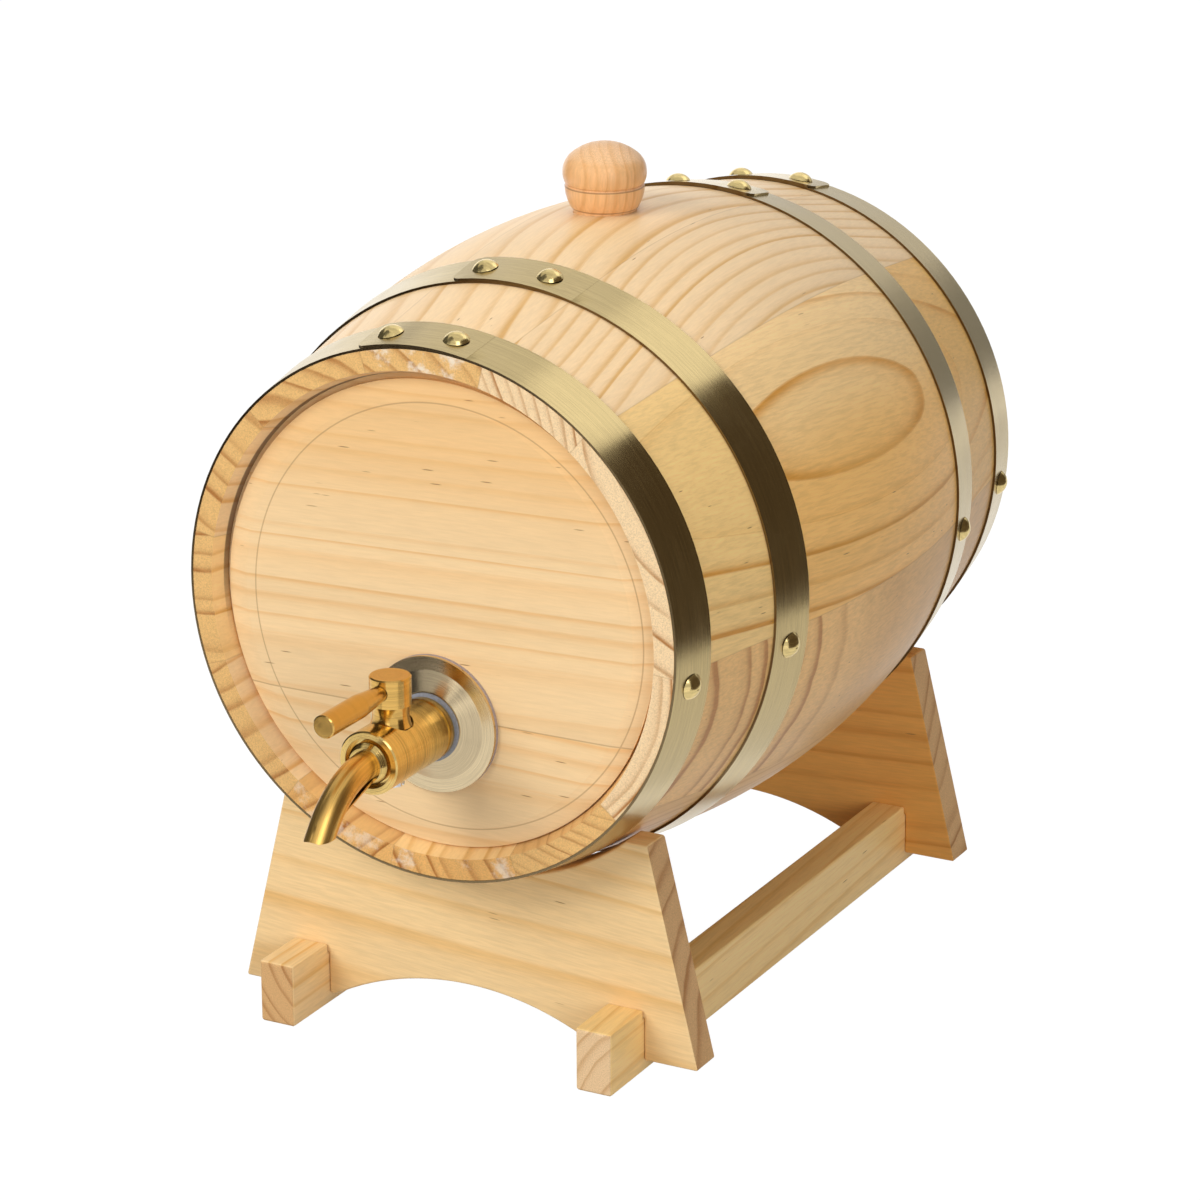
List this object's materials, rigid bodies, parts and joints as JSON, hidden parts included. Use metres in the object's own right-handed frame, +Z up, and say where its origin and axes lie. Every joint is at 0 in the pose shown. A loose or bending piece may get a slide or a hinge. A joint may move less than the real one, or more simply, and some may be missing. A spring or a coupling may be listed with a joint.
{
  "type": "wooden barrel drink dispenser",
  "caption": "Small wooden barrel lying on a slotted wooden stand, with metal hoops, a lift-out bung and a lever tap with a bent spout in its front head.",
  "frame": {"origin": "on the surface the stand rests on, under the middle of the whole outline from spout tip to rail ends", "axes": "+Z up, barrel axis along Y with the tap towards -Y, +X to the right seen from the tap's side"},
  "size_m": [0.2122, 0.337, 0.2831],
  "materials": {
    "barrel_pine": "clear satin lacquer on pine",
    "head_pine": "clear satin lacquer on pine",
    "stand_pine": "sanded pine",
    "bung_wood": "turned hardwood, semi-gloss",
    "hoop_brass": "brushed, brass-plated strip",
    "nail_brass": "polished",
    "tap_brass": "satin, turned",
    "flange_brass": "satin, turned",
    "gasket_rubber": "matt",
    "seal_rubber": "matt",
    "screw_steel": "zinc-plated"
  },
  "bodies": {
    "stand": {"front_cradle": "stand_pine", "rear_cradle": "stand_pine", "left_rail": "stand_pine", "right_rail": "stand_pine"},
    "barrel": {"stave_01": "barrel_pine", "stave_02": "barrel_pine", "stave_03": "barrel_pine", "stave_04": "barrel_pine", "stave_05": "barrel_pine", "stave_06": "barrel_pine", "stave_07": "barrel_pine", "stave_08": "barrel_pine", "stave_09": "barrel_pine", "stave_10": "barrel_pine", "stave_11": "barrel_pine", "stave_12": "barrel_pine", "front_head_lower": "head_pine", "front_head_upper": "head_pine", "rear_head_lower": "head_pine", "rear_head_upper": "head_pine", "front_end_hoop": "hoop_brass", "front_quarter_hoop": "hoop_brass", "rear_quarter_hoop": "hoop_brass", "rear_end_hoop": "hoop_brass", "front_end_hoop_nails": "nail_brass", "front_quarter_hoop_nails": "nail_brass", "rear_quarter_hoop_nails": "nail_brass", "rear_end_hoop_nails": "nail_brass", "flange_gasket": "gasket_rubber", "tap_flange": "flange_brass", "body_seal": "seal_rubber", "tap_body": "tap_brass", "shank_washer": "seal_rubber", "lock_nut": "tap_brass", "spout_collar": "tap_brass", "spout": "tap_brass"},
    "bung": {"bung": "bung_wood"},
    "tap_key": {"tap_stem": "tap_brass", "stem_o_rings": "seal_rubber", "tap_lever": "tap_brass", "stem_plate": "screw_steel", "stem_screw": "screw_steel"}
  },
  "joints": [
    {"name": "barrel_lift", "type": "slide", "parent": "stand", "child": "barrel", "axis": [0, 0, 1], "range_m": [0, 0.12]},
    {"name": "bung_lift", "type": "slide", "parent": "barrel", "child": "bung", "axis": [0, 0, 1], "range_m": [0, 0.05]},
    {"name": "tap_turn", "type": "hinge", "parent": "barrel", "child": "tap_key", "pos_m": [0, -0.11887, 0.1171], "axis": [0, 0, 1], "range_deg": [-90, 90]}
  ]
}
